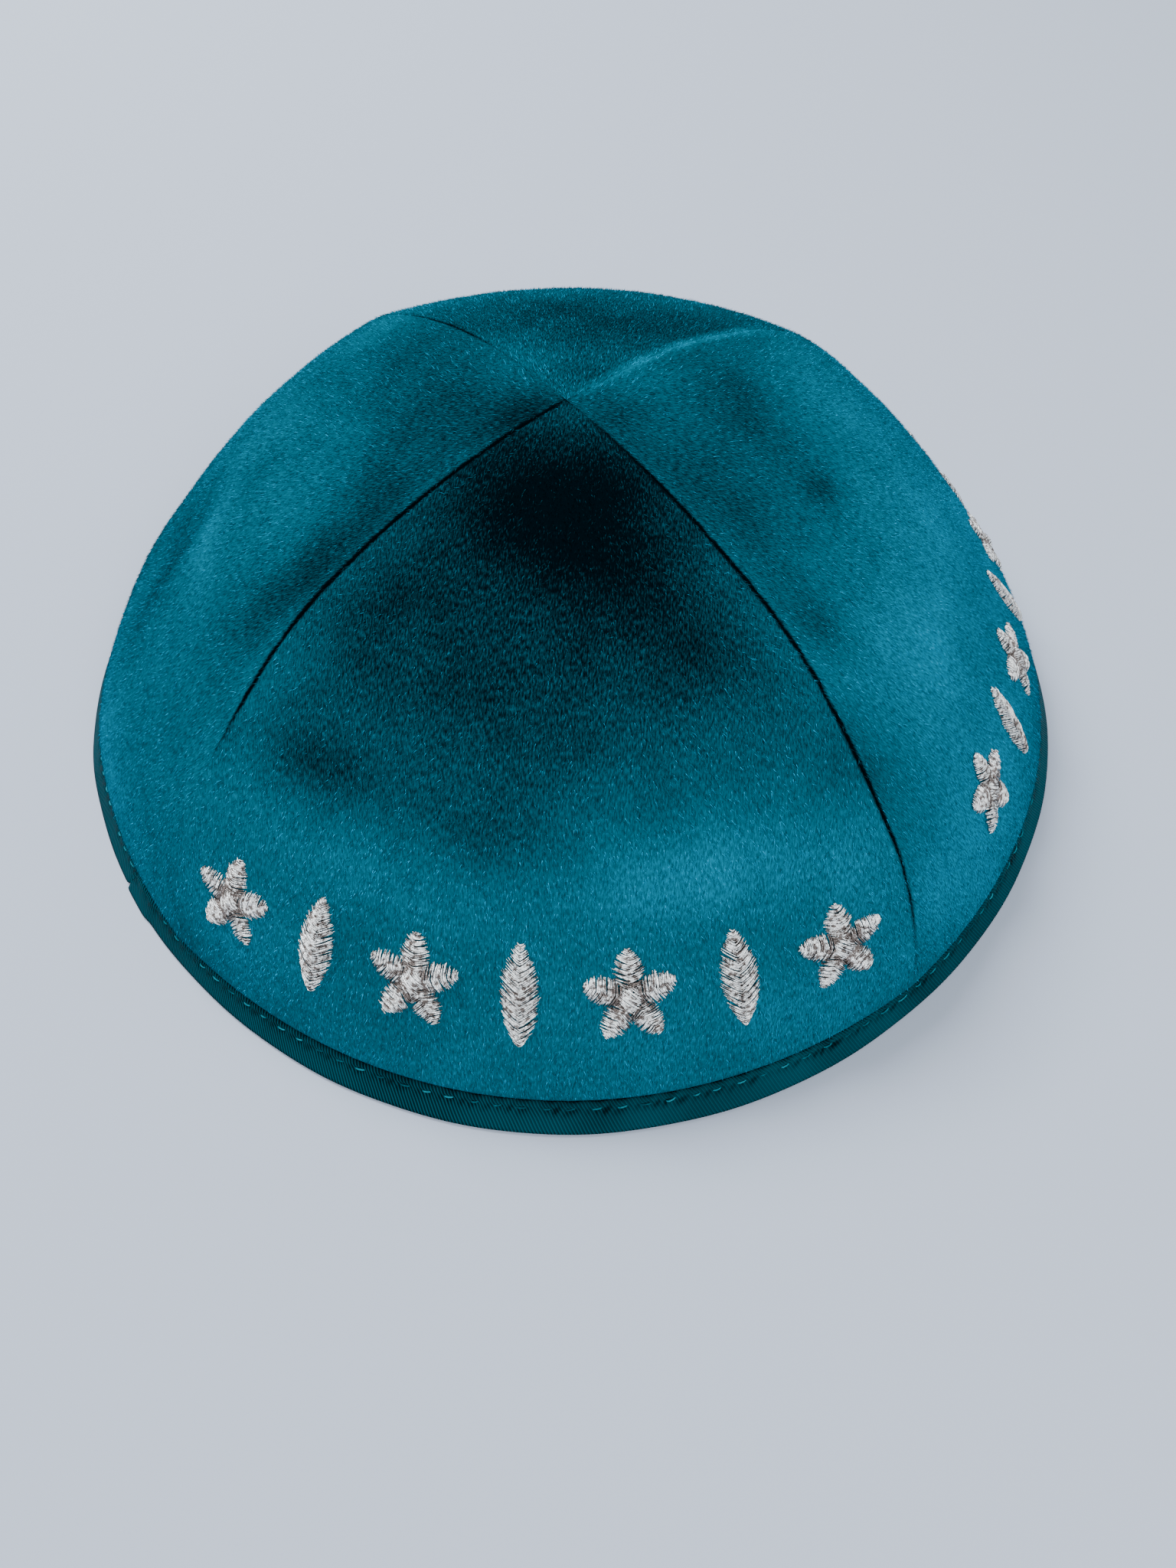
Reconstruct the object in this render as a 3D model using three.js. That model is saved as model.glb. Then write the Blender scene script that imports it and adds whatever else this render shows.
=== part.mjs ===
// A velvet kippah: a shallow skullcap of four curved gores that meet in a point, with a folded satin tape
// round the rim and a row of raised satin stitch ornaments on two of its gores.
// Millimetres, +Z up. The rim rests on Z = 0 round the Z axis, and -Y is the front.
import * as THREE from 'three';

// Driving dimensions: the whole cap
const rimDiameter = 172;
const crownHeight = 55.5;
const ovalSwell = 1.2;          // how far the rim's radius grows and shrinks, twice round
const ovalAzimuth = -69;        // degrees
const squareSwell = 0.6;        // the same, four times round
const squareAzimuth = -4;       // degrees
const apexForward = -5.1;       // the crown's point lies behind the rim's centre
const apexSideways = 1.4;

// Driving dimensions: the cloth
const velvetWall = 2;           // backing and pile together
const pressedWall = 0.8;        // the gore's edge, pressed flat inside the tape
const clothGap = 0.3;           // clearance between pieces that are sewn together
const seamDip = 0.6;            // how deep the pile rolls in along a seam
const seamRoll = 2.2;           // how wide that roll is on each side
const tapeWall = 0.8;
const tapeSetBack = 0.3;        // how far the pile stands proud of the tape
const tapeOuterLeg = 4.2;       // height of the tape outside
const tapeInnerLeg = 4;         // height of the tape inside
const tapeFoldRound = 0.5;      // rounding of the fold that stands on the table
const pileRoll = 1.4;           // height over which the pile comes up to its full thickness above the tape

// Driving dimensions: the ornaments
const motifHeight = 14;
const rosetteDiameter = 13;
const motifSpacing = 1.2;       // least bare velvet between two of them
const motifAboveTape = 10.2;    // bare velvet between the tape and the ornaments
const leafWidth = 4.8;
const petalWidth = 3.6;
const padHeight = 0.9;
const padEdge = 0.4;            // height of a pad at its outline

// The upright section from rim to point. rise is a share of crownHeight. seam and panel are shares of the
// rim's radius, along a seam and midway between two seams.
const CROWN_SECTION = [
  { rise: 0, seam: 1, panel: 1 },
  { rise: 0.22, seam: 0.965, panel: 0.929 },
  { rise: 0.43, seam: 0.891, panel: 0.82 },
  { rise: 0.62, seam: 0.757, panel: 0.707 },
  { rise: 0.78, seam: 0.613, panel: 0.567 },
  { rise: 0.9, seam: 0.431, panel: 0.37 },
  { rise: 0.975, seam: 0.232, panel: 0.188 },
  { rise: 1, seam: 0, panel: 0 },
];

// Seams in turn, anticlockwise from above: where each starts at the rim, and how far it has turned by the
// point, in degrees.
const SEAMS = [
  { azimuth: -135.5, twist: -6 },
  { azimuth: -54, twist: 2.5 },
  { azimuth: 48, twist: -7.4 },
  { azimuth: 126.5, twist: 0 },
];
const GORES = ['front', 'right', 'back', 'left'];

// Soft dents and ridges. azimuth is in degrees and rise a share of crownHeight; halfWidth and halfHeight are
// shares of the rim's radius; depth is a share of crownHeight, and a ridge's is negative.
const DENTS = [
  { azimuth: -92, rise: 0.9, halfWidth: 0.3, halfHeight: 0.3, depth: 0.036 },
  { azimuth: -166, rise: 0.56, halfWidth: 0.1, halfHeight: 0.3, depth: -0.02 },
  { azimuth: 178, rise: 0.5, halfWidth: 0.12, halfHeight: 0.26, depth: 0.018 },
  { azimuth: -128, rise: 0.56, halfWidth: 0.16, halfHeight: 0.2, depth: 0.014 },
];

// Rows of ornaments: from and to are where the first and last stand, as shares of the way from the gore's
// first seam to its second.
const MOTIF_ROWS = [
  { gore: 'front', from: 0.1, to: 0.9 },
  { gore: 'right', from: 0.19, to: 0.83 },
];

// Shares and counts
const gorePeak = 0.77;          // exponent of the change from seam to mid-panel; lower is boxier
const dipShareAtTape = 0.5;     // how much of a seam's dip is left where it goes under the tape
const padCrownShare = 0.55;     // how much of a pad's outline its crown keeps
const goreColumnCount = 14;
const goreRowCount = 15;
const petalCount = 5;
const rosettePointCount = 40;
const leafPointCount = 16;
const bisectCount = 40;

const velvet = new THREE.MeshStandardMaterial({ color: 0x00616e, roughness: 0.95, metalness: 0 });
const satin = new THREE.MeshStandardMaterial({ color: 0x0b5558, roughness: 0.6, metalness: 0 });
const silver = new THREE.MeshStandardMaterial({ color: 0xa9a6a2, roughness: 0.45, metalness: 0.3 });

const rimRadius = rimDiameter / 2;
const lastRow = CROWN_SECTION.length - 1;

// Depths below the visible surface, from the pile inwards
const tapeOuterFace = tapeSetBack;
const tapeOuterBack = tapeOuterFace + tapeWall;
const skirtFace = tapeOuterBack + clothGap;
const skirtBack = skirtFace + pressedWall;
const tapeInnerBack = skirtBack + clothGap;
const tapeInnerFace = tapeInnerBack + tapeWall;

function radians(degrees) {
  return THREE.MathUtils.degToRad(degrees);
}

// A column of the section table past its ends: straight on below the rim, mirrored over the point.
function sectionValue(index, column) {
  if (index < 0) {
    return 2 * CROWN_SECTION[0][column] - CROWN_SECTION[-index][column];
  }
  if (index > lastRow) {
    const mirrored = CROWN_SECTION[2 * lastRow - index][column];
    return column === 'rise' ? mirrored : -mirrored;
  }
  return CROWN_SECTION[index][column];
}

// A smooth curve through one column of the table; t runs from 0 at the rim to lastRow at the point.
function sectionCurve(t, column) {
  const row = Math.min(Math.max(Math.floor(t), 0), lastRow - 1);
  const u = t - row;
  const [a, b, c, d] = [-1, 0, 1, 2].map((step) => sectionValue(row + step, column));
  const linear = (c - a) * u;
  const square = (2 * a - 5 * b + 4 * c - d) * u * u;
  const cube = (3 * b - a - 3 * c + d) * u * u * u;
  return (2 * b + linear + square + cube) / 2;
}

function nextSeam(index) {
  return SEAMS[(index + 1) % SEAMS.length];
}

// The angle from a gore's first seam to its second.
function goreWidth(index) {
  return radians(THREE.MathUtils.euclideanModulo(nextSeam(index).azimuth - SEAMS[index].azimuth, 360));
}

// How far across its gore an azimuth in radians lies, from 0 to 1, and how far the cloth has turned there.
function goreAt(azimuth) {
  const first = radians(SEAMS[0].azimuth);
  let turned = THREE.MathUtils.euclideanModulo(azimuth - first, 2 * Math.PI);
  let index = 0;
  while (index < SEAMS.length - 1 && turned >= goreWidth(index)) {
    turned -= goreWidth(index);
    index += 1;
  }
  const across = turned / goreWidth(index);
  const twist = THREE.MathUtils.lerp(SEAMS[index].twist, nextSeam(index).twist, across);
  return { across, twist: radians(twist) };
}

// Radius of the cap at an azimuth, for a share that the section table gives.
function radiusAt(azimuth, t) {
  const { across } = goreAt(azimuth);
  const middle = Math.sin(Math.PI * across) ** gorePeak;
  const share = THREE.MathUtils.lerp(sectionCurve(t, 'seam'), sectionCurve(t, 'panel'), middle);
  const oval = ovalSwell * Math.cos(2 * (azimuth - radians(ovalAzimuth)));
  const square = squareSwell * Math.cos(4 * (azimuth - radians(squareAzimuth)));
  return share * (rimRadius + oval + square);
}

// How far the dents push the surface in.
function dentDepth(azimuth, t) {
  const rise = sectionCurve(t, 'rise');
  const radius = radiusAt(azimuth, t);
  let depth = 0;
  DENTS.forEach((dent, index) => {
    const turn = THREE.MathUtils.euclideanModulo(azimuth - radians(dent.azimuth) + Math.PI, 2 * Math.PI);
    const sideways = (turn - Math.PI) * radius / (dent.halfWidth * rimRadius);
    const climb = (rise - dent.rise) * crownHeight;
    const inwards = radiusAt(radians(dent.azimuth), t) - dentRadii[index];
    const upwards = Math.hypot(climb, inwards) / (dent.halfHeight * rimRadius);
    depth += dent.depth * crownHeight * Math.exp(-(sideways ** 2) - upwards ** 2);
  });
  return depth;
}

// The parameter of the section where the outer surface reaches a height.
function paramAtHeight(height) {
  return bisect((t) => sectionCurve(t, 'rise') * crownHeight - height, 0, lastRow);
}

function bisect(difference, low, high) {
  let [below, above] = [low, high];
  for (let step = 0; step < bisectCount; step += 1) {
    const middle = (below + above) / 2;
    if (difference(middle) < 0) {
      below = middle;
    } else {
      above = middle;
    }
  }
  return (below + above) / 2;
}

// How the cloth faces in the upright section, outwards from the axis and upwards.
function facing(azimuth, t) {
  const step = 0.01;
  const outwards = (sectionCurve(t + step, 'rise') - sectionCurve(t - step, 'rise')) * crownHeight;
  const upwards = radiusAt(azimuth, t - step) - radiusAt(azimuth, t + step);
  const length = Math.hypot(outwards, upwards);
  return { outwards: outwards / length, upwards: upwards / length };
}

// A point at a depth below the visible surface, measured square to the upright section.
function clothPoint(azimuth, t, depth) {
  const { twist } = goreAt(azimuth);
  const rise = sectionCurve(t, 'rise');
  const { outwards, upwards } = facing(azimuth, t);
  const sunk = depth + dentDepth(azimuth, t);
  const radius = radiusAt(azimuth, t) - sunk * outwards;
  const turned = azimuth + twist * rise;
  return new THREE.Vector3(
    apexSideways * rise + radius * Math.cos(turned),
    -apexForward * rise + radius * Math.sin(turned),
    rise * crownHeight - sunk * upwards,
  );
}

// The same near the rim, at a height above the table.
function clothPointAtHeight(azimuth, height, depth) {
  const t = bisect((at) => clothPoint(azimuth, at, depth).z - height, 0, lastRow / 2);
  const point = clothPoint(azimuth, t, depth);
  point.z = height;
  return point;
}

// A mesh from corners and triangles, with its faces turned outwards.
function closedMesh(name, triangles, material) {
  let volume = 0;
  for (const [a, b, c] of triangles) {
    volume += a.dot(new THREE.Vector3().crossVectors(b, c));
  }
  const positions = [];
  for (const [a, b, c] of triangles) {
    const turned = volume < 0 ? [a, c, b] : [a, b, c];
    for (const corner of turned) {
      positions.push(corner.x, corner.y, corner.z);
    }
  }
  const geometry = new THREE.BufferGeometry();
  geometry.setAttribute('position', new THREE.Float32BufferAttribute(positions, 3));
  geometry.computeVertexNormals();
  const mesh = new THREE.Mesh(geometry, material);
  mesh.name = name;
  return mesh;
}

// Two triangles, or one where the quad has shrunk to a point on one side.
function addQuad(triangles, a, b, c, d) {
  const same = 1e-6;
  if (a.distanceTo(b) > same && b.distanceTo(c) > same) {
    triangles.push([a, b, c]);
  }
  if (a.distanceTo(d) > same && d.distanceTo(c) > same) {
    triangles.push([a, c, d]);
  }
}

// Joins closed sections of equal length into one body. An open run of them gets a cap at each end, where
// the first half of a section goes up the outside and the second half comes down the inside.
function loftSections(sections, closed) {
  const triangles = [];
  const spans = closed ? sections.length : sections.length - 1;
  for (let column = 0; column < spans; column += 1) {
    const here = sections[column];
    const next = sections[(column + 1) % sections.length];
    for (let index = 0; index < here.length; index += 1) {
      const after = (index + 1) % here.length;
      addQuad(triangles, here[index], next[index], next[after], here[after]);
    }
  }
  if (!closed) {
    const first = sections[0];
    const last = sections[sections.length - 1];
    const count = first.length;
    for (let index = 0; index < count / 2 - 1; index += 1) {
      const inner = count - 1 - index;
      addQuad(triangles, first[index], first[index + 1], first[inner - 1], first[inner]);
      addQuad(triangles, last[inner], last[inner - 1], last[index + 1], last[index]);
    }
  }
  return triangles;
}

// Azimuths and dips across a gore at one height: its two edges stand half a gap off the seams, with the
// rolled-in pile beside them.
function goreStations(index, radius) {
  const start = radians(SEAMS[index].azimuth);
  const width = goreWidth(index);
  const edge = Math.asin(Math.min(clothGap / 2 / radius, 1));
  const roll = Math.min(seamRoll / radius, width / goreColumnCount);
  const stations = [{ azimuth: start + edge, dip: seamDip }];
  for (let column = 0; column <= goreColumnCount; column += 1) {
    const share = column / goreColumnCount;
    stations.push({ azimuth: start + roll + (width - 2 * roll) * share, dip: 0 });
  }
  stations.push({ azimuth: start + width - edge, dip: seamDip });
  return stations;
}

// Where a gore's tip lies at the point of the crown, half a gap off both its seams.
function tipPoint(index, depth) {
  const from = radians(SEAMS[index].azimuth + SEAMS[index].twist);
  const turn = goreWidth(index) + radians(nextSeam(index).twist - SEAMS[index].twist);
  const away = clothGap / 2 / Math.sin(turn / 2);
  const centre = clothPoint(radians(SEAMS[index].azimuth), lastRow, depth);
  centre.x += away * Math.cos(from + turn / 2);
  centre.y += away * Math.sin(from + turn / 2);
  return centre;
}

function makeGore(index) {
  const skirtFoot = tapeWall + clothGap;
  const tapeTop = tapeOuterLeg + clothGap;
  const legTop = tapeInnerLeg + clothGap;
  const clearTop = Math.max(tapeTop, legTop);
  const velvetStart = paramAtHeight(clearTop + pileRoll);
  const tips = [tipPoint(index, seamDip), tipPoint(index, velvetWall)];
  const rows = [];
  for (let row = 0; row < goreRowCount; row += 1) {
    rows.push(velvetStart + (lastRow - velvetStart) * (row / goreRowCount));
  }
  const sections = [];
  const lowStations = goreStations(index, rimRadius);
  lowStations.forEach((low, station) => {
    const outside = [
      clothPointAtHeight(low.azimuth, skirtFoot, skirtFace),
      clothPointAtHeight(low.azimuth, tapeTop, skirtFace),
      clothPointAtHeight(low.azimuth, tapeTop, tapeOuterFace + low.dip * dipShareAtTape),
    ];
    const inside = [
      clothPointAtHeight(low.azimuth, skirtFoot, skirtBack),
      clothPointAtHeight(low.azimuth, legTop, skirtBack),
      clothPointAtHeight(low.azimuth, clearTop + pileRoll / 2, velvetWall),
    ];
    for (const t of rows) {
      const here = goreStations(index, radiusAt(low.azimuth, t))[station];
      outside.push(clothPoint(here.azimuth, t, here.dip));
      inside.push(clothPoint(here.azimuth, t, velvetWall));
    }
    outside.push(tips[0]);
    inside.push(tips[1]);
    sections.push([...outside, ...inside.reverse()]);
  });
  return closedMesh(`panel_${GORES[index]}`, loftSections(sections, false), velvet);
}

// The tape: an outer and an inner leg on one fold, all one strip of cloth round the rim.
function makeBinding() {
  const corners = [
    { height: 0, depth: tapeOuterFace + tapeFoldRound },
    { height: tapeFoldRound, depth: tapeOuterFace },
    { height: tapeOuterLeg / 2, depth: tapeOuterFace },
    { height: tapeOuterLeg, depth: tapeOuterFace },
    { height: tapeOuterLeg, depth: tapeOuterBack },
    { height: tapeOuterLeg / 2, depth: tapeOuterBack },
    { height: tapeWall, depth: tapeOuterBack },
    { height: tapeWall, depth: tapeInnerBack },
    { height: tapeInnerLeg / 2, depth: tapeInnerBack },
    { height: tapeInnerLeg, depth: tapeInnerBack },
    { height: tapeInnerLeg, depth: tapeInnerFace },
    { height: tapeInnerLeg / 2, depth: tapeInnerFace },
    { height: tapeFoldRound, depth: tapeInnerFace },
    { height: 0, depth: tapeInnerFace - tapeFoldRound },
  ];
  const sections = [];
  SEAMS.forEach((seam, index) => {
    const stations = goreStations(index, rimRadius).slice(1, -1);
    for (const azimuth of [radians(seam.azimuth), ...stations.map((station) => station.azimuth)]) {
      sections.push(corners.map(({ height, depth }) => clothPointAtHeight(azimuth, height, depth)));
    }
  });
  return closedMesh('rim_binding', loftSections(sections, true), satin);
}

// A point on the cloth, measured along it from the middle of an ornament.
function ornamentPoint(centre, sideways, upwards, depth) {
  const t = paramAtHeight(centre.height + upwards * centre.climb);
  const azimuth = centre.azimuth + sideways / radiusAt(centre.azimuth, t);
  return clothPoint(azimuth, t, depth);
}

// Radius of the two arcs that bound a pointed petal or leaf.
function arcRadius(length, width) {
  return (length ** 2 + width ** 2) / (4 * width);
}

// Outline of a rosette: pointed petals that spring from its middle, one of them upright.
function rosetteReach(angle) {
  const sector = 2 * Math.PI / petalCount;
  const turned = THREE.MathUtils.euclideanModulo(angle - Math.PI / 2 + sector / 2, sector) - sector / 2;
  const length = rosetteDiameter / 2;
  const bow = 2 * arcRadius(length, petalWidth) - petalWidth;
  return length * Math.cos(turned) - bow * Math.abs(Math.sin(turned));
}

// Outline of a leaf: two arcs that meet in a point at the top and at the bottom.
function leafReach(angle) {
  const arc = arcRadius(motifHeight, leafWidth);
  const offset = arc - leafWidth / 2;
  const across = Math.abs(Math.cos(angle));
  return Math.sqrt(arc ** 2 - offset ** 2 * (1 - across ** 2)) - offset * across;
}

// A raised pad of satin stitch: flat on the cloth, crowned towards its middle.
function makeMotif(name, centre, reach, count) {
  const foot = -clothGap;
  const shoulder = foot - padEdge;
  const crown = foot - padHeight;
  const ring = (depth, share) => {
    const points = [];
    for (let step = 0; step < count; step += 1) {
      const angle = 2 * Math.PI * step / count;
      const length = share * reach(angle);
      points.push(ornamentPoint(centre, length * Math.cos(angle), length * Math.sin(angle), depth));
    }
    return points;
  };
  const rings = [ring(foot, 1), ring(shoulder, 1), ring(crown, padCrownShare)];
  const under = ornamentPoint(centre, 0, 0, foot);
  const top = ornamentPoint(centre, 0, 0, crown);
  const triangles = [];
  for (let step = 0; step < count; step += 1) {
    const next = (step + 1) % count;
    triangles.push([under, rings[0][next], rings[0][step]]);
    addQuad(triangles, rings[0][step], rings[0][next], rings[1][next], rings[1][step]);
    addQuad(triangles, rings[1][step], rings[1][next], rings[2][next], rings[2][step]);
    triangles.push([top, rings[2][step], rings[2][next]]);
  }
  return closedMesh(name, triangles, silver);
}

// A row of ornaments, rosettes and leaves by turns, as many as fit between the row's two ends.
function makeMotifRow({ gore, from, to }) {
  const index = GORES.indexOf(gore);
  const start = radians(SEAMS[index].azimuth);
  const width = goreWidth(index);
  const middle = start + width / 2;
  const climb = facing(middle, paramAtHeight(tapeOuterLeg + motifAboveTape)).outwards;
  const height = tapeOuterLeg + (motifAboveTape + motifHeight / 2) * climb;
  const length = (to - from) * width * radiusAt(middle, paramAtHeight(height));
  const gaps = Math.max(Math.floor(length / (rosetteDiameter + motifSpacing)), 1);
  const row = [];
  for (let place = 0; place <= gaps; place += 1) {
    const azimuth = start + width * (from + (to - from) * place / gaps);
    const centre = { azimuth, height, climb };
    const rosette = place % 2 === 0;
    const shape = rosette ? [rosetteReach, rosettePointCount] : [leafReach, leafPointCount];
    row.push(makeMotif(`motif_${gore}_${place + 1}`, centre, ...shape));
  }
  return row;
}

// How far from the axis each dent lies
const dentRadii = DENTS.map(({ azimuth, rise }) => {
  return radiusAt(radians(azimuth), paramAtHeight(rise * crownHeight));
});

const kippah = new THREE.Group();
GORES.forEach((gore, index) => kippah.add(makeGore(index)));
kippah.add(makeBinding());
MOTIF_ROWS.forEach((row) => kippah.add(...makeMotifRow(row)));

export default kippah;
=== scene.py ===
# A velvet kippah resting on a pale table: four gores of brushed velvet, a folded satin tape round
# the rim with its two rows of stitches, and a row of silver satin stitch ornaments on two of the
# gores. Metres.
import math

import bpy
import numpy as np
from mathutils import Matrix, Vector, noise


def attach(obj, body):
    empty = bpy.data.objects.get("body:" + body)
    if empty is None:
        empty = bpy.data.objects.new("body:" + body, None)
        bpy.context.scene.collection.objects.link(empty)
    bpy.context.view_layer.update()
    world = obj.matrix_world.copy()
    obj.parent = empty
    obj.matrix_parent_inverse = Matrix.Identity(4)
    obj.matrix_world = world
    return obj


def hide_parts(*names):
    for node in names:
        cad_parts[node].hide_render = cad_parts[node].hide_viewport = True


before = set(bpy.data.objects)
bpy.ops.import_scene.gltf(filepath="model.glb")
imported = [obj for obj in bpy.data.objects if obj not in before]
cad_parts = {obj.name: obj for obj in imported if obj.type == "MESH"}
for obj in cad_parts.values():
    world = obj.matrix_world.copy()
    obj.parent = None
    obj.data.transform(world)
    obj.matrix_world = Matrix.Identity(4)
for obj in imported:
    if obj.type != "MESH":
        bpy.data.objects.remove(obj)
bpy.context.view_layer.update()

MM = 0.001

# Form of the cap, with the same sizes as its solids
RIM_RADIUS = 86 * MM
CROWN_HEIGHT = 55.5 * MM
OVAL_SWELL = 1.2 * MM
OVAL_AZIMUTH = math.radians(-69)
SQUARE_SWELL = 0.6 * MM
SQUARE_AZIMUTH = math.radians(-4)
POINT_SHIFT = (1.4 * MM, 5.1 * MM)
GORE_PEAK = 0.77

# The upright section from rim to point: rise is a share of the crown's height, seam and panel are
# shares of the rim's radius, along a seam and midway between two seams
SECTION = {
    "rise": (0, 0.22, 0.43, 0.62, 0.78, 0.9, 0.975, 1),
    "seam": (1, 0.965, 0.891, 0.757, 0.613, 0.431, 0.232, 0),
    "panel": (1, 0.929, 0.82, 0.707, 0.567, 0.37, 0.188, 0),
}
LAST_ROW = len(SECTION["rise"]) - 1

# Seams in turn, anticlockwise from above: azimuth at the rim, and how far each turns by the point
SEAM_AZIMUTHS = np.radians([-135.5, -54, 48, 126.5])
SEAM_TWISTS = np.radians([-6, 2.5, -7.4, 0])
GORES = ("front", "right", "back", "left")
GORE_WIDTHS = np.mod(np.roll(SEAM_AZIMUTHS, -1) - SEAM_AZIMUTHS, 2 * math.pi)
GORE_STARTS = np.concatenate([[0], np.cumsum(GORE_WIDTHS)[:-1]])

# Soft dents, and ridges where the depth is negative: azimuth in degrees, rise and depth as shares
# of the crown's height, half width and half height as shares of the rim's radius
DENTS = (
    {"azimuth": -92, "rise": 0.9, "half_width": 0.3, "half_height": 0.3, "depth": 0.036},
    {"azimuth": -166, "rise": 0.56, "half_width": 0.1, "half_height": 0.3, "depth": -0.02},
    {"azimuth": 178, "rise": 0.5, "half_width": 0.12, "half_height": 0.26, "depth": 0.018},
    {"azimuth": -128, "rise": 0.56, "half_width": 0.16, "half_height": 0.2, "depth": 0.014},
)

# Velvet: its seams, its skirt inside the tape and how far its broad and fine rumples lift it
CLOTH_GAP = 0.3 * MM
SEAM_GAP = 0.02 * MM
SEAM_ROLL = 0.9 * MM
SEAM_DEPTH = 0.6 * MM
VELVET_BACKING = 1.3 * MM
SKIRT_DEPTH = 1.5 * MM
SKIRT_FOOT = 2 * MM
BROAD_RUMPLE = 0.35 * MM
FINE_RUMPLE = 0.12 * MM

# Rows of a gore's grid in the skirt, on the roll above the tape and from there to the point, and
# its columns on the roll beside a seam and between the two rolls
SKIRT_ROWS = 4
ROLL_ROWS = 9
FACE_ROWS = 65
SEAM_COLUMNS = 6
FACE_COLUMNS = 67

# Tape: its two legs and the fold between them, and the velvet's roll above it
TAPE_WALL = 0.8 * MM
TAPE_SET_BACK = 0.3 * MM
TAPE_OUTER_LEG = 4.2 * MM
TAPE_INNER_LEG = 4 * MM
TAPE_INNER_FACE = 3.3 * MM
TAPE_FOLD = 0.5 * MM
TAPE_FLARE = 0.7 * MM
ROLL_START = TAPE_OUTER_LEG + CLOTH_GAP
ROLL_HEIGHT = 1.4 * MM

# The tape's lapped join: where it starts, how long and high the lap is, over what length its edge
# rises, and how deep the notch beside it is
TAPE_JOIN = math.radians(-147)
LAP_LENGTH = 9 * MM
LAP_HEIGHT = 0.3 * MM
LAP_EDGE = 0.35 * MM
NOTCH_DEPTH = 0.35 * MM
NOTCH_WIDTH = 0.4 * MM

# Stitches: how far they dip in at their ends and lie below the tape's edges, and how they pull the
# tape in and let it sag between them
STITCH_PITCH = 3.5 * MM
STITCH_COUNT = round(2 * math.pi * RIM_RADIUS / STITCH_PITCH)
STITCH_LENGTH = 2.2 * MM
STITCH_THICKNESS = 0.22 * MM
STITCH_DIP = 0.5 * MM
STITCH_LIFT = 0.02 * MM
OUTSIDE_DROP = 0.85 * MM
OUTSIDE_PULL = 0.1 * MM
INSIDE_DROP = 0.9 * MM
PUCKER_DROP = 0.9 * MM
PUCKER_DEPTH = 0.26 * MM
EDGE_SAG = 0.4 * MM
RIPPLE_DEPTH = 0.06 * MM

# Pile: the fibres of one gore, how steeply they lie, how unlike each other they are and how deep
# they root in the cloth
FIBRE_COUNT = 41000
FIBRE_LENGTH = 0.85 * MM
FIBRE_WIDTH = 0.11 * MM
FIBRE_LIFT = math.radians(20)
FIBRE_LIFT_SPREAD = 0.13
FIBRE_TURN_SPREAD = 0.3
FIBRE_LENGTH_SPREAD = 0.22
FIBRE_SWIRL = 0.6
FIBRE_ROOT = 0.06 * MM

# Each fibre's own speck on a map to which its finish can be baked
SPECK_SIZE = 0.0016
SPECK_MARGIN = 0.004
SPECK_SPREAD = 0.99

# Ornaments
MOTIF_HEIGHT = 14 * MM
ROSETTE_DIAMETER = 13 * MM
MOTIF_SPACING = 1.2 * MM
MOTIF_ABOVE_TAPE = 10.2 * MM
LEAF_WIDTH = 4.8 * MM
PETAL_WIDTH = 3.6 * MM
PETAL_COUNT = 5
HEART_WIDTH = 3 * MM
HEART_LIFT = 0.45 * MM
HEART_TURN = 0.9
BLUNT_TIP = 0.2 * MM
PAD_CROWN = 0.6 * MM
LEAF_BEND = 0.7
PETAL_BEND = 0.3
THREAD_PITCH = 0.15 * MM
THREAD_RADIUS = 0.115 * MM
THREAD_LIFT = 0.06 * MM
MOTIF_ROWS = (
    {"gore": "front", "from": 0.1, "to": 0.9},
    {"gore": "right", "from": 0.19, "to": 0.83},
)

# The camera of the photograph, measured from the rim's centre
CAMERA_PLACE = (3.31 * MM, -144.5 * MM, 164.62 * MM)
CAMERA_DOWN = math.radians(54.34)
CAMERA_ROLL = math.radians(1.33)
CAMERA_LENS = 27.03

# Lights, all turned to the cap's middle
LIGHT_TARGET = (0, 0, 0.03)
LIGHTS = (
    {"name": "window", "place": (-0.45, 0.55, 0.9), "size": 0.5, "power": 26},
    {"name": "fill", "place": (0.3, -0.75, 0.75), "size": 0.6, "power": 13.5},
)
SKY_COLOUR = (0.93, 0.96, 1, 1)
SKY_STRENGTH = 0.68
TABLE_SIZE = 6

# Steps in which the section is searched for a height
HALVINGS = 30


def with_ghosts(column):
    """A column of the section with a value past each end, so that its curve runs on smoothly."""
    values = SECTION[column]
    beyond = values[-2] if column == "rise" else -values[-2]
    return np.array([2 * values[0] - values[1], *values, beyond])


CURVES = {column: with_ghosts(column) for column in SECTION}


def section_curve(t, column):
    """A smooth curve through a column; t is 0 at the rim and LAST_ROW at the point."""
    row = np.clip(np.floor(t).astype(int), 0, LAST_ROW - 1)
    u = t - row
    a, b, c, d = (CURVES[column][row + step] for step in range(4))
    square = (2 * a - 5 * b + 4 * c - d) * u**2
    cube = (3 * b - a - 3 * c + d) * u**3
    return (2 * b + (c - a) * u + square + cube) / 2


def gore_at(azimuth):
    """How far across its gore an azimuth lies, from 0 to 1, and how far the cloth turns there."""
    turned = np.mod(azimuth - SEAM_AZIMUTHS[0], 2 * math.pi)
    index = np.searchsorted(GORE_STARTS, turned, side="right") - 1
    across = (turned - GORE_STARTS[index]) / GORE_WIDTHS[index]
    twist = SEAM_TWISTS[index] * (1 - across) + np.roll(SEAM_TWISTS, -1)[index] * across
    return across, twist


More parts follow.
